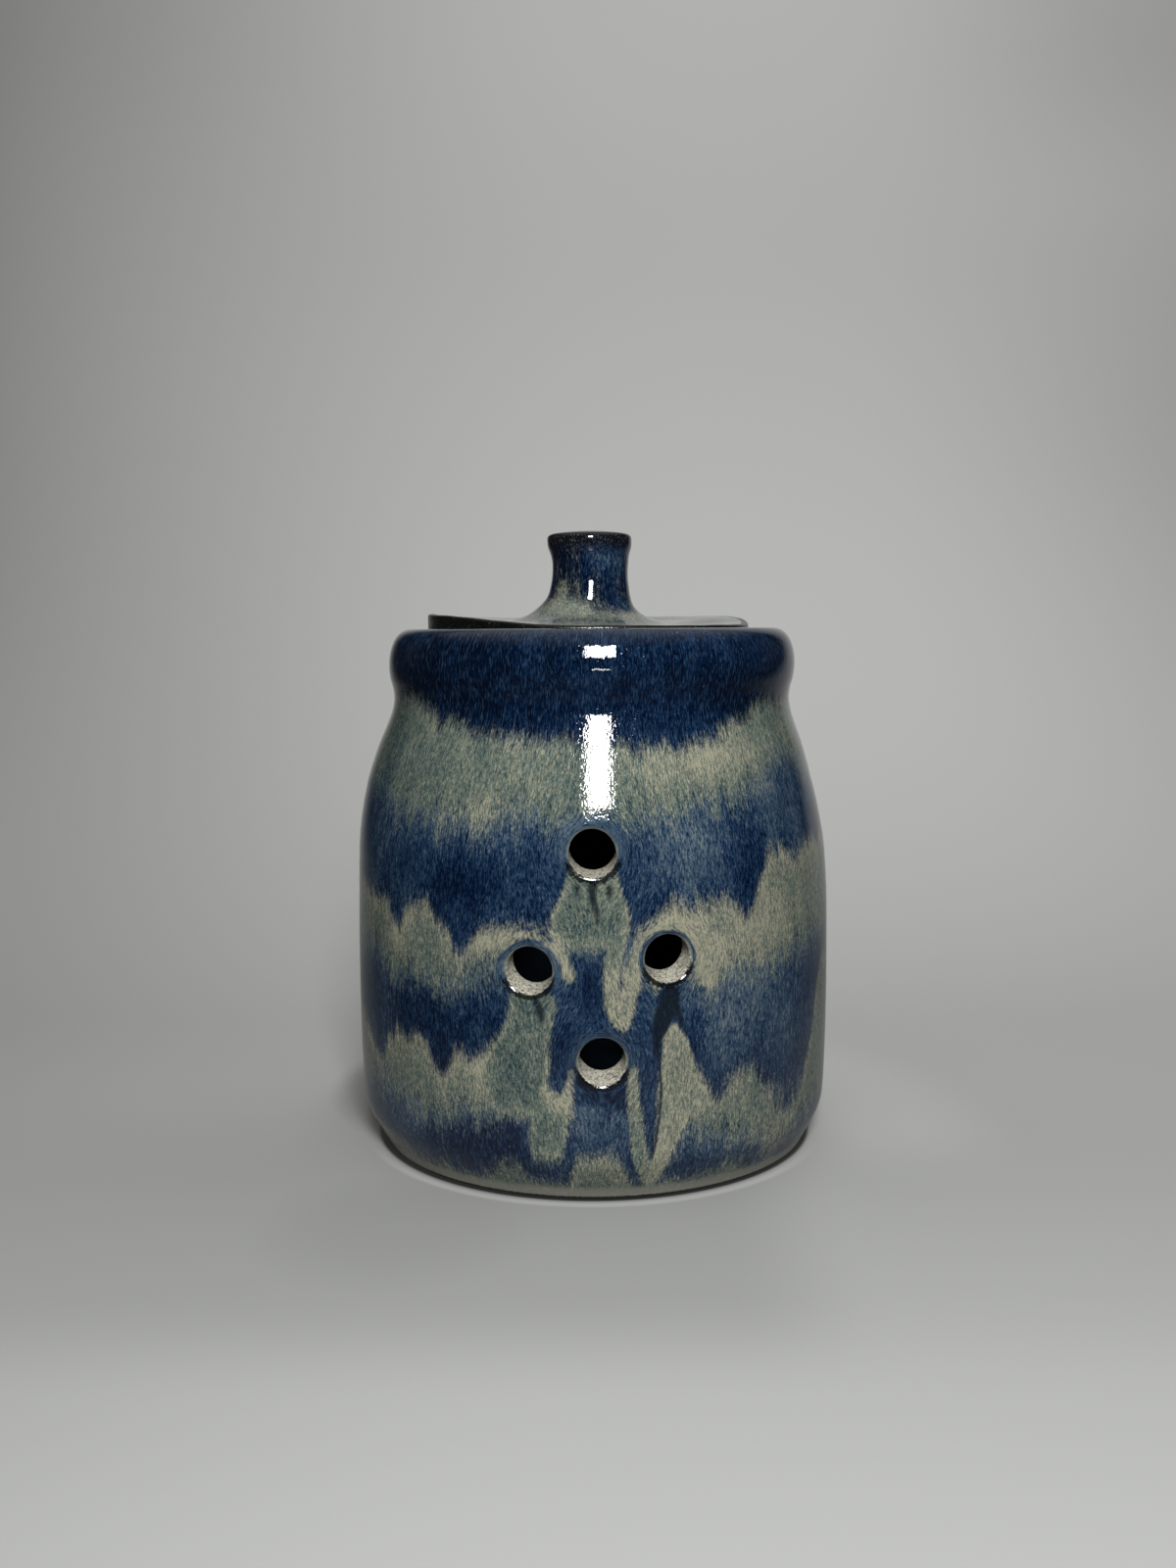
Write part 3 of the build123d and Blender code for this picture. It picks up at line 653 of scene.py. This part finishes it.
def poured_glaze(finish, flow, sage, cream, deep, combed):
    """The colour of the two glazes where one runs into the other, their fibre and their grain."""
    fibre = finish.noise(flow, (3, 3, 0.66), 1, 0.55)
    grain = finish.noise(flow, (3.4, 3.4, 1.7), 1, 0.6, 7)
    comb = finish.noise(flow, (1.15, 1.15, 0.22), 1, 0.5, 13)
    lock = finish.noise(flow, (0.42, 0.42, 0.09), 1, 0.5, 17)
    cloud = finish.noise(flow, (0.13, 0.13, 0.07), 2, 0.5, 21)
    torn = (comb.swing(4.6) + lock.swing(4.8)) * combed + fibre.swing(4) + grain.swing(2.6)
    sage_part = (sage + torn).rise(-2.7, 2.7)
    thin = (1 - deep) * 0.8 + fibre.swing(1.15) + grain.swing(0.8) + cloud.swing(0.6)
    blue = finish.shades(thin + comb.swing(0.35), BLUES)
    strand = finish.noise(flow, (3.3, 3.3, 0.6), 0, 0.5, 51).rise(0.56, 0.76)
    blue = finish.over(strand * (0.14 + deep * 0.18), blue, tone(62, 90, 116))
    thick = cream * 0.62 + 0.24 + grain.swing(1.25) + fibre.swing(1.2) + cloud.swing(0.4)
    pale = finish.shades(thick + lock.swing(0.3), SAGES)
    fleck = finish.noise(flow, (3.2, 3.2, 0.8), 0, 0.5, 41).rise(0.56, 0.74)
    pale = finish.over(fleck * 0.5, pale, tone(44, 58, 58))
    colour = finish.over(sage_part, blue, pale)
    speck = finish.noise(flow, (0.75, 0.75, 0.6), 1, 0.6, 31).rise(0.77, 0.81) * grain.rise(0.45, 0.6)
    return finish.over(speck * 0.7, colour, tone(140, 120, 100)), fibre, grain


finish = Finish(bpy.data.materials.new("jar_glaze"))
at = finish.in_mm()
side, up = finish.part(at, "X"), finish.part(at, "Z")
skin_kind, bore, lower_lip = finish.mark("skin"), finish.mark("bore"), finish.mark("lip")
colour, fibre, grain = poured_glaze(
    finish, finish.mark("flow", 1), *(finish.mark(name) for name in ("sage", "cream", "deep", "combed")))
# fine rings of glaze over each vent
wobble = finish.noise(at, (0.35, 0.35, 0.35), 1, 0.5, 3)
rings_over = ((finish.mark("ring") * 13 + wobble * 14).sine() * 0.5 + 0.5) * finish.mark("halo")
colour = finish.over(rings_over * 0.4, colour, tone(88, 104, 112))
# dark pools under the vents, and the thin line below them
pool = (finish.mark("blot") + fibre.swing(1.8)).rise(-0.4, 0.5)
colour = finish.over(pool * 0.9, colour, tone(17, 25, 33))
thread = (finish.mark("line").size() + grain.swing(0.4)).rise(0.5, 0.15) * up.rise(8, 12) * up.rise(42, 38)
colour = finish.over(thread * 0.85, colour, tone(12, 22, 38))
# round a vent: black beads along its lower lip, a pale line over its upper one, cream glaze in its bore
bead = finish.noise(at, (1.6, 1.6, 1.6), 2, 0.6, 5)
black = (lower_lip * 1.3 + bead.swing(2.4) + grain.swing(2)).rise(0.5, 0.8)
colour = finish.over(black * 0.92, colour, tone(6, 8, 12))
pale_edge = bore.rise(0, 0.05) * bore.rise(0.9, 0.5) * (1 - lower_lip)
colour = finish.over(pale_edge * 0.6, colour, tone(120, 132, 126))
CREAMS = [(0, (98, 98, 91)), (0.35, (160, 158, 145)), (1, (210, 206, 188))]
bore_colour = finish.shades(finish.noise(at, (1.8, 1.8, 1.8), 3, 0.6, 9).rise(0.3, 0.7), CREAMS)
colour = finish.over((bore + bead.swing(0.9)).rise(0.2, 0.55), colour, bore_colour)
# the crest of the rim and the foot, where the glaze is thin
crest = (up + grain.swing(1.6)).rise(123.9, 125.6)
colour = finish.over(crest * 0.2, colour, tone(84, 92, 92))
thin_foot = (up + fibre.swing(2.5)).rise(3.6, 2)
colour = finish.over(thin_foot * 0.75, colour, tone(143, 142, 131))
# teal glaze inside, and bare clay under the foot and in the gallery
inside = skin_kind.rise(2.2, 2.8)
inside_colour = finish.shades(fibre.swing(1.4) + 0.35, [(0, (10, 30, 42)), (1, (26, 56, 72))])
colour = finish.over(inside, colour, inside_colour)
in_gallery = skin_kind.rise(1.4, 1.6) * skin_kind.rise(2.6, 2.4) * (up + grain.swing(0.6)).rise(124.8, 124.2)
bare = ((up + grain.swing(0.5)).rise(0.7, 0.4) + in_gallery).least(1)
clay = finish.shades(grain.rise(0.3, 0.7), [(0, (20, 18, 17)), (1, (52, 47, 43))])
colour = finish.over(bare, colour, clay)
roughness = (0.025 + bore.rise(0.5, 1.6) * 0.2) * (1 - bare) + bare * 0.8 + inside * 0.7
# the orange peel of the glaze, its pits and beads, the clay's grit, and a shallow dent in the collar
orange_peel = finish.noise(at, (1.3, 1.3, 1), 1, 0.6, 17)
pits = finish.noise(at, (1.7, 1.7, 1.7), 1, 0.5, 61).rise(0.7, 0.78)
dent = (up + bead.swing(0.8)).rise(116.8, 117.4) * (side - 1.9).size().rise(3.4, 1)
relief = orange_peel * 2.4 + fibre * 0.15 - pits + (bead * bare) * 4 - dent * 7 + (bead * lower_lip) * 2.2
RELIEF_DEPTH = 0.014
jar.data.materials.append(finish.surface(colour, roughness, relief, RELIEF_DEPTH))
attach(jar, "jar")
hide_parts("jar")

# --------------------------------------------------------------------
# The lid. A thrown disc, a little warped, that drops into the jar's gallery, and a waisted knob drawn up from
# its middle. It is glazed on top; its edge and underside are bare dark clay.

# Its section as (radius, height), with its edge as (radius, drop from its top), and how far the warped edge
# stands above the jar's rim, by azimuth. The top is drawn for an edge that stands DRAWN_LIFT above the rim.
LID_UNDER = [
    (5, 122.05), (12, 122.05), (20, 122.05), (30, 122.05), (37.4, 122.05), (38.3, 122.1), (38.95, 122.3),
    (39.4, 122.75), (39.58, 123.3),
]
LID_EDGE_DROP = [(39.6, 2.2), (39.62, 1.4), (39.62, 0.85), (39.57, 0.45), (39.4, 0.18), (39.05, 0.04)]
KNOB_AND_TOP = [
    (38.5, 128), (34, 127.75), (28, 127.3), (23, 127.15), (20.6, 127.3), (18.4, 127.8), (16, 128.5),
    (13.95, 129.5), (12.7, 130.5), (11.75, 131.5), (11.1, 132.35), (10.5, 133.4), (10.02, 134.8),
    (9.7, 136.4), (9.46, 138), (9.36, 139.8), (9.4, 141.6), (9.6, 143.5), (9.92, 144.7), (10.22, 145.5),
    (10.38, 146.3), (10.44, 147.3), (10.42, 148.1), (10.25, 148.65), (9.7, 149), (8.3, 149.3), (6, 149.6),
    (3, 149.85),
]
EDGE_ABOVE_RIM = [
    (-180, 2.9), (-150, 2.9), (-120, 3.1), (-90, 3.8), (-66, 3.3), (-52, 2.95), (-37, 2.25), (-24, 1.3),
    (-10, 0.65), (10, 0.6), (38, 0.6), (64, 0.75), (84, 1), (96, 2.2), (110, 3), (150, 3.1),
]
RIM_HEIGHT, DRAWN_LIFT, KNOB_TOP = 126, 2.0, 149.95
# The lid lies a little to the left in the gallery, and the knob isn't quite straight: KNOB_ASIDE is (height,
# how far its middle lies to the right, and behind). Below KNOB_FROM there is only the plate.
LID_ASIDE, KNOB_FROM = -0.85, 125
KNOB_ASIDE = [
    (128, -1.3, 0.9), (130, -1.35, 0.95), (131.2, -1.3, 0.9), (132.2, -1.05, 0.7), (133.2, -0.75, 0.45),
    (134.2, -0.58, 0.25), (135.2, -0.48, 0.12), (136.4, -0.42, 0.04), (138, -0.36, 0), (142, -0.22, 0),
    (145, -0.35, 0), (148, -0.47, 0),
]
LID_COLUMNS = 288
lid_top = fair(KNOB_AND_TOP, 0.7)
lid_rows = len(LID_UNDER) + len(LID_EDGE_DROP) + len(lid_top)
a = np.linspace(-180, 180, LID_COLUMNS, endpoint=False)
lift = run_round(EDGE_ABOVE_RIM, a, (1,) * 37)
rag = 0.1 * np.sin(np.radians(a * 7)) * np.sin(np.radians(a * 3 + 40))
rag += 0.05 * np.sin(np.radians(a * 23 + 10))
lid_radius = np.repeat([[r] for r, _ in (*LID_UNDER, *LID_EDGE_DROP, *lid_top)], LID_COLUMNS, axis=1)
lid_height = [np.full(LID_COLUMNS, z) for _, z in LID_UNDER]
lid_height += [RIM_HEIGHT + lift - drop + rag * min(1, 0.3 + drop) for _, drop in LID_EDGE_DROP]
for r, z in lid_top:
    warp = (lift - DRAWN_LIFT) * np.clip((r - 11) / 27.5, 0, 1)
    lid_height.append(z + warp + rag * 0.5 * np.clip((r - 34) / 4, 0, 1))
turn = np.radians(np.tile(a, (lid_rows, 1)))
lid_points = np.stack([lid_radius * np.sin(turn), -lid_radius * np.cos(turn), lid_height], axis=-1)
lid_points = lid_points.reshape(-1, 3)
pole = len(lid_points)
lid_points = np.concatenate([lid_points, [(0, 0, LID_UNDER[0][1]), (0, 0, KNOB_TOP)]])
lid_faces = net(np.zeros((lid_rows - 1, LID_COLUMNS), bool))
lid_faces += [(pole, (i + 1) % LID_COLUMNS, i) for i in range(LID_COLUMNS)]
top_row = (lid_rows - 1) * LID_COLUMNS
lid_faces += [(pole + 1, top_row + i, top_row + (i + 1) % LID_COLUMNS) for i in range(LID_COLUMNS)]
azimuth = np.degrees(np.arctan2(lid_points[:, 0], -lid_points[:, 1]))
height = lid_points[:, 2]
from_middle = np.hypot(lid_points[:, 0], lid_points[:, 1])
beside_axis = lid_points.copy()
by_height = np.array(KNOB_ASIDE).T
for axis, plate_aside in ((0, LID_ASIDE), (1, 0)):
    knob_aside = np.interp(height, by_height[0], by_height[axis + 1])
    aside = knob_aside + (plate_aside - knob_aside) * soft(from_middle, 16, 30)
    beside_axis[:, axis] += np.where(height < KNOB_FROM, plate_aside, aside)
bare_rows = len(LID_UNDER) + len(LID_EDGE_DROP)
near_edge = np.clip((lid_radius[bare_rows:] - 37.6) / 0.9, 0, 1).ravel()
wear = np.concatenate([np.ones(bare_rows * LID_COLUMNS), near_edge, [1, 0]])
# On the knob: sage and cream low down, blue in front and on the right, near black high on the left and at the
# top edge, where the glaze breaks, and a pale spot high on the front right that is a painted highlight. On
# the plate: pools of sage with blue between them.
KNOB_SAGE = [
    (-38, 135.2, 3.2, 3, 5), (-44, 130.8, 8, 2.6, 7), (22, 128.6, 7, 1.5, 5.5), (-14, 130.2, 5, 2.2, 6.5),
    (66, 128.6, 8, 1.6, 6), (100, 131.5, 6, 2.4, 7), (172, 133.5, 5, 3.6, 8), (-130, 130.5, 7, 2, 7),
]
# The spots deepen or pale the knob's blue; the pale one at 35 degrees and 142.5 mm is a painted highlight.
KNOB_DEEP_AND_HIGHLIGHT = [
    (-48, 141, 5.5, 7, 0.4), (35, 142.5, 6, 2.8, -0.5), (15, 134, 7, 4, 0.15), (60, 132, 4, 3, -0.15),
    (150, 141, 9, 4, -0.2), (-120, 138, 8, 6, 0.25),
]
knob_scale = np.radians(np.clip(from_middle, 6, 16))
lid_sage = -4.5 + spotted(KNOB_SAGE, knob_scale)
plate = 2.2 * np.sin(from_middle * 0.36 + 1.1 * np.sin(np.radians(azimuth) * 2) + 0.6) + 0.8
lid_sage = lid_sage + (plate - lid_sage) * soft(from_middle, 16.5, 21)
lid_deep_and_highlight = 0.72 + spotted(KNOB_DEEP_AND_HIGHLIGHT, knob_scale) * (1 - soft(from_middle, 15, 20))
lid = closed_mesh("lid_thrown", beside_axis, lid_faces, {
    "sage": np.clip(lid_sage, -9, 9), "wear": wear, "across": from_middle, "deep": np.clip(lid_deep_and_highlight, 0, 1),
})

finish = Finish(bpy.data.materials.new("lid_glaze"))
at = finish.in_mm()
# the deep mark carries the knob's glaze depth and its painted highlight
colour, fibre, grain = poured_glaze(finish, at, finish.mark("sage") * 0.6, 0.56, finish.mark("deep"), 0.6)
high = (finish.part(at, "Z") + fibre.swing(6) + grain.swing(3)).rise(144.4, 147.6)
burnt = high * (finish.mark("across") + grain.swing(2)).rise(5, 8.5)
scorched = finish.shades(grain.rise(0.3, 0.75), [(0, (6, 7, 9)), (0.6, (20, 20, 21)), (1, (76, 74, 72))])
colour = finish.over(burnt * 0.9, colour, scorched)
bare = (finish.mark("wear") + (grain - 0.5)).rise(0.35, 0.65)
DARK_CLAY = [(0, (6, 7, 7)), (0.55, (16, 17, 15)), (0.85, (40, 40, 37)), (1, (96, 95, 88))]
colour = finish.over(bare, colour, finish.shades(grain.rise(0.35, 0.8), DARK_CLAY))
roughness = 0.03 * (1 - bare) + bare * 0.24
grit = finish.noise(at, (1.6, 1.6, 1.6), 2, 0.6, 5)
peel = finish.noise(at, (0.9, 0.9, 0.6), 2, 0.6, 17)
relief = peel * 0.7 + fibre * 0.3 + (grit * bare) * 6
lid.data.materials.append(finish.surface(colour, roughness, relief, RELIEF_DEPTH))
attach(lid, "lid")
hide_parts("lid")

# --------------------------------------------------------------------
# The table: one pale sheet of paper that runs back and turns up into a wall. A soft lamp stands behind and
# above the camera, another lights only the object, from behind, and the ceiling gives a little light.

BEND, BEND_FROM, WALL_TOP, HALF_WIDTH = 0.5, 0.1, 0.8, 0.75
bend = np.linspace(0.05, math.pi / 2, 24)
sweep = [(-0.62, 0), (-0.3, 0), (BEND_FROM, 0)]
sweep += [(BEND_FROM + BEND * math.sin(t), BEND * (1 - math.cos(t))) for t in bend]
sweep += [(BEND_FROM + BEND, WALL_TOP)]
table_points = [(x, y, z) for x in (-HALF_WIDTH, HALF_WIDTH) for y, z in sweep]
table_faces = [(k, k + len(sweep), k + len(sweep) + 1, k + 1) for k in range(len(sweep) - 1)]
mesh = bpy.data.meshes.new("table")
mesh.from_pydata(table_points, [], table_faces)
mesh.shade_smooth()
table = placed("table", mesh)
finish = Finish(bpy.data.materials.new("table_paper"))
at = finish.node("ShaderNodeTexCoord", {}, {}, "Object")
at_x, at_y, at_z = (finish.part(at, letter) for letter in "XYZ")


def from_place(x, y):
    """The square of the distance from a place on the table, in square metres."""
    to_right, to_back = at_x - x, at_y - y
    return to_right * to_right + to_back * to_back


from_jar = from_place(0, 0)
seen = finish.node("ShaderNodeLightPath", {}, {}, "Is Camera Ray")
glossed = finish.node("ShaderNodeLightPath", {}, {}, "Is Glossy Ray")
far_back = at_y.rise(-0.12, 0.5)
shown = seen.most(glossed * far_back * at_x.rise(-0.38, -0.15) * at_x.rise(0.6, 0.35))
# the light that the paper throws back onto the object
beside_jar = from_jar.rise(0.045, 0.008) * at_x.rise(-0.19, -0.07)
unseen = finish.over(beside_jar, tone(52, 52, 52), tone(130, 130, 129))
# the paper, with painted light and shade: painted soft shadows round the jar, in front of it and on its left,
# painted light to its right, a thin painted bright line of light thrown from the glaze before its foot, and a
# painted dark contact shadow
painted_shade_in_front = at_y.rise(-0.14, -0.1) * at_y.rise(0.04, -0.04) * (at_x.rise(0.055, 0.025) * 0.7 + 0.3)
painted_light_right = from_jar.rise(0.012, 0.006) * at_x.rise(0.045, 0.068) * at_y.rise(-0.05, 0)
painted_cast_shadow = from_place(-0.01, 0.03).rise(0.0041, 0.0029) * at_x.rise(-0.02, -0.045)
painted_bright_line = from_jar.rise(0.00305, 0.00316) * from_jar.rise(0.00342, 0.00326) * at_y.rise(-0.012, -0.045)
paper = tone(175, 176, 173)
# in turn: painted shade on the left, near the foot and in front, a faint painted shadow front left, painted
# light on the right, the painted cast shadow, the painted bright line and the painted contact shadow
for where, shade in (
    (at_x.rise(0, -0.24) * at_z.rise(0.3, 0), (158, 159, 156)),
    (from_jar.rise(0.0065, 0.003) * at_x.rise(0.07, -0.03), (159, 160, 157)),
    (painted_shade_in_front, (158, 159, 157)),
    (from_place(-0.042, -0.068).rise(0.0012, 0) * 0.3, (138, 139, 136)),
    (painted_light_right, (184, 185, 182)),
    (painted_cast_shadow * 0.85, (120, 121, 118)),
    (painted_bright_line * 0.45, (202, 203, 200)),
    (from_jar.rise(0.00305, 0.00291), (30, 32, 30)),
):
    paper = finish.over(where, paper, tone(*shade))
paper = finish.over(shown, unseen, paper)
# the wall's own light, less at the sides
off_middle = at_x - 0.1
glow = 0.25 - off_middle * off_middle * 0.72 - at_x.rise(0, -0.4) * at_z.rise(0.45, 0.1) * 0.05
glow = glow - at_x.rise(0.15, 0.4) * at_z.rise(0.45, 0.2) * 0.06
glow = glow + at_x.rise(-0.3, 0) * at_z.rise(0.33, 0.55) * 0.06
glow = shown * far_back * (glow - at_x.rise(0.15, 0.35) * at_z.rise(0.38, 0.5) * 0.06).most(0)
sheet = finish.node("ShaderNodeBsdfPrincipled", {}, {
    "Base Color": paper, "Roughness": 0.9, "Specular IOR Level": 0.1, "Emission Strength": 1,
    "Emission Color": finish.over(glow, (0, 0, 0, 1), (1, 1, 0.99, 1))})
finish.node("ShaderNodeOutputMaterial", {}, {"Surface": sheet})
table.data.materials.append(finish.holder)


def soft_lamp(name, place, towards, wide, tall, watts):
    """A rectangular lamp that faces a point."""
    lamp = bpy.data.lights.new(name, "AREA")
    lamp.shape, lamp.size, lamp.size_y, lamp.energy = "RECTANGLE", wide, tall, watts
    stand = placed(name, lamp)
    stand.location = place
    stand.rotation_euler = (Vector(towards) - Vector(place)).to_track_quat("-Z", "Y").to_euler()
    return stand


soft_lamp("key", (0.0374, -0.534, 0.383), (0, -0.05, 0.09), 0.118, 0.218, 3.6)
rear = soft_lamp("rear", (-0.12, 0.52, 0.45), (0, 0.05, 0.09), 0.16, 0.24, 2.6)
lit_by_rear = bpy.data.collections.new("lit_by_rear")
lit_by_rear.objects.link(jar)
lit_by_rear.objects.link(lid)
rear.visible_glossy = False
rear.light_linking.receiver_collection = lit_by_rear

world = bpy.data.worlds.new("studio")
bpy.context.scene.world = world
sky = Finish(world)
way = sky.node("ShaderNodeTexCoord", {}, {}, "Generated")
way_y, way_z = sky.part(way, "Y"), sky.part(way, "Z")
seen = sky.node("ShaderNodeLightPath", {}, {}, "Is Camera Ray")
glossed = sky.node("ShaderNodeLightPath", {}, {}, "Is Glossy Ray")
lit = way_z.rise(0.5, 0.95) * (0.75 - glossed * 0.4) + way_y.rise(0.2, 0.9) * 0.04 + 0.02
strength = lit + seen * (0.42 - lit)
background = sky.node("ShaderNodeBackground", {}, {"Color": (1, 1, 1, 1), "Strength": strength})
sky.node("ShaderNodeOutputWorld", {}, {"Surface": background})

camera_data = bpy.data.cameras.new("camera")
camera_data.lens, camera_data.sensor_width, camera_data.clip_start = 33.75, 36, 0.01
camera = placed("camera", camera_data)
camera.location = (-0.00088, -0.368, 0.126)
camera.rotation_euler = (math.radians(90 - 6.05), math.radians(0.28), 0)
bpy.context.scene.camera = camera
bpy.context.scene.view_settings.view_transform = "Standard"
